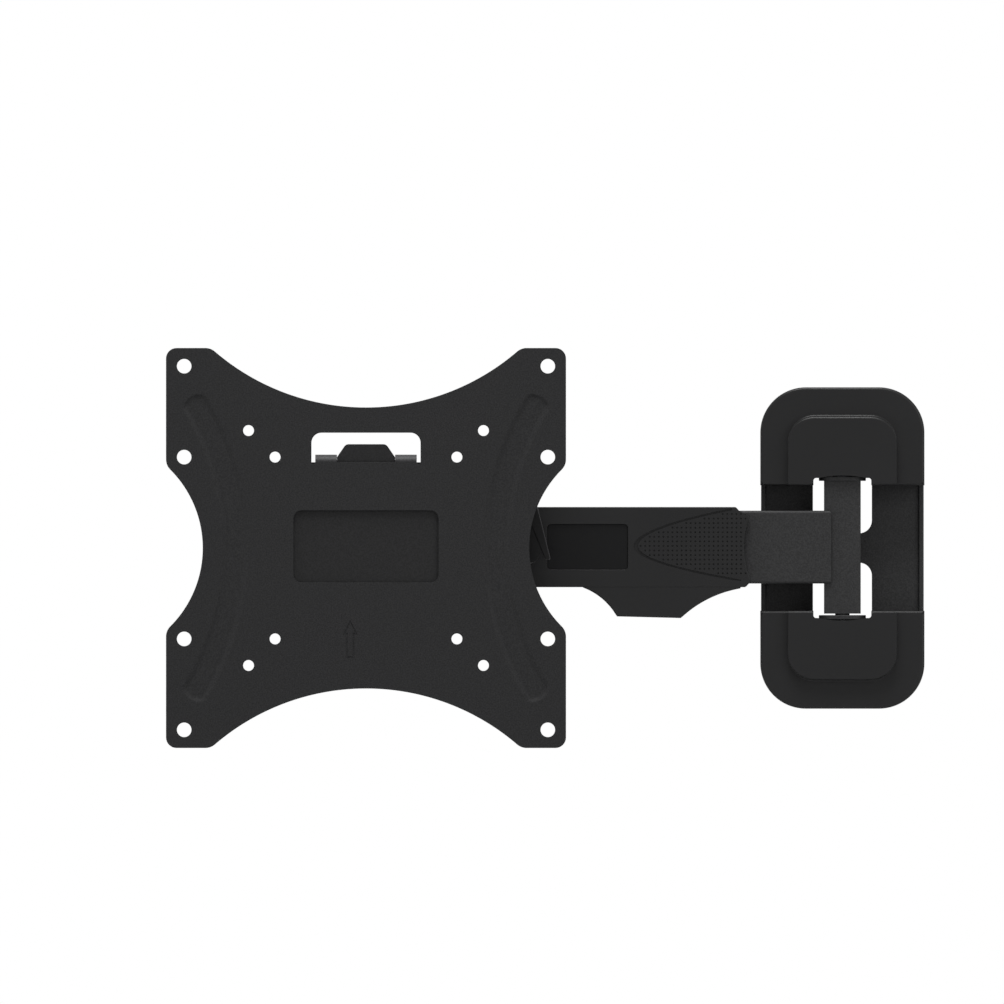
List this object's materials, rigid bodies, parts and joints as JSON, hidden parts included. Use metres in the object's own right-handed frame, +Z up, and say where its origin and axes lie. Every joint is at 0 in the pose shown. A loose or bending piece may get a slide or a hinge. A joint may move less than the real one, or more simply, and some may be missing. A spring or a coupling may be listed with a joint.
{
  "type": "full motion tv wall mount",
  "caption": "Wall bracket with a folding arm and a plate for a flat television; the plate swings out from the wall, swivels, tilts and levels.",
  "frame": {"origin": "centre of the wall plate's back face, on the wall", "axes": "+Z up, +Y into the wall, +X to the right for someone who faces the wall; the room is towards -Y"},
  "size_m": [0.4172, 0.0783, 0.22],
  "materials": {
    "coated_steel": "black powder coat with a fine texture",
    "plate_steel": "black powder coat with a fine texture",
    "cover_plastic": "smooth matt black moulding",
    "cap_plastic": "darker matt black moulding",
    "lever_plastic": "matt black moulding",
    "zinc": "bright zinc plate",
    "bush_nylon": "black nylon"
  },
  "bodies": {
    "wall_bracket": {"wall_plate": "coated_steel", "upper_cover": "cover_plastic", "lower_cover": "cover_plastic", "wall_pivot_bolt": "zinc", "wall_pivot_nut": "zinc", "wall_pivot_washers": "zinc"},
    "rear_arm": {"rear_knuckle": "coated_steel", "rear_bushes": "bush_nylon", "rear_thrust_washer": "bush_nylon", "rear_tube": "coated_steel", "elbow_barrel": "coated_steel", "elbow_bushes": "bush_nylon"},
    "front_arm": {"front_channel": "coated_steel", "front_cover": "cover_plastic", "recess_cap": "cap_plastic", "cover_screws": "zinc", "elbow_shroud": "cover_plastic", "elbow_pin": "zinc", "elbow_washer": "zinc", "elbow_nut": "zinc", "front_knuckle": "coated_steel", "front_bushes": "bush_nylon", "front_thrust_washer": "bush_nylon"},
    "swivel_head": {"swivel_bracket": "coated_steel", "head_pivot_bolt": "zinc", "head_pivot_nut": "zinc", "head_pivot_washers": "zinc", "tilt_bolt": "zinc", "tilt_spacer": "zinc"},
    "tilt_head": {"tilt_bracket": "coated_steel", "tilt_washers": "bush_nylon", "roll_nut": "zinc", "roll_washers": "bush_nylon"},
    "clamp_lever": {"tilt_lever": "lever_plastic", "lever_insert": "zinc"},
    "screen_plate": {"head_plate": "plate_steel", "roll_stud": "zinc", "roll_guides": "zinc", "lock_screws": "zinc", "tv_plate": "plate_steel"}
  },
  "joints": [
    {"name": "wall_swivel", "type": "hinge", "parent": "wall_bracket", "child": "rear_arm", "pos_m": [0, -0.019, 0], "axis": [0, 0, 1], "range_deg": [0, 180]},
    {"name": "elbow", "type": "hinge", "parent": "rear_arm", "child": "front_arm", "pos_m": [-0.1064, -0.019, 0], "axis": [0, 0, -1], "range_deg": [0, 150]},
    {"name": "head_swivel", "type": "hinge", "parent": "front_arm", "child": "swivel_head", "pos_m": [-0.262, -0.019, 0], "axis": [0, 0, 1], "range_deg": [-180, 0]},
    {"name": "tilt", "type": "hinge", "parent": "swivel_head", "child": "tilt_head", "pos_m": [-0.262, -0.054, 0], "axis": [1, 0, 0], "range_deg": [-5, 15]},
    {"name": "roll", "type": "hinge", "parent": "tilt_head", "child": "screen_plate", "pos_m": [-0.262, -0.072, 0], "axis": [0, -1, 0], "range_deg": [-5, 5]},
    {"name": "lever_turn", "type": "hinge", "parent": "swivel_head", "child": "clamp_lever", "pos_m": [-0.262, -0.054, 0], "axis": [1, 0, 0], "range_deg": [-25, 25]}
  ]
}
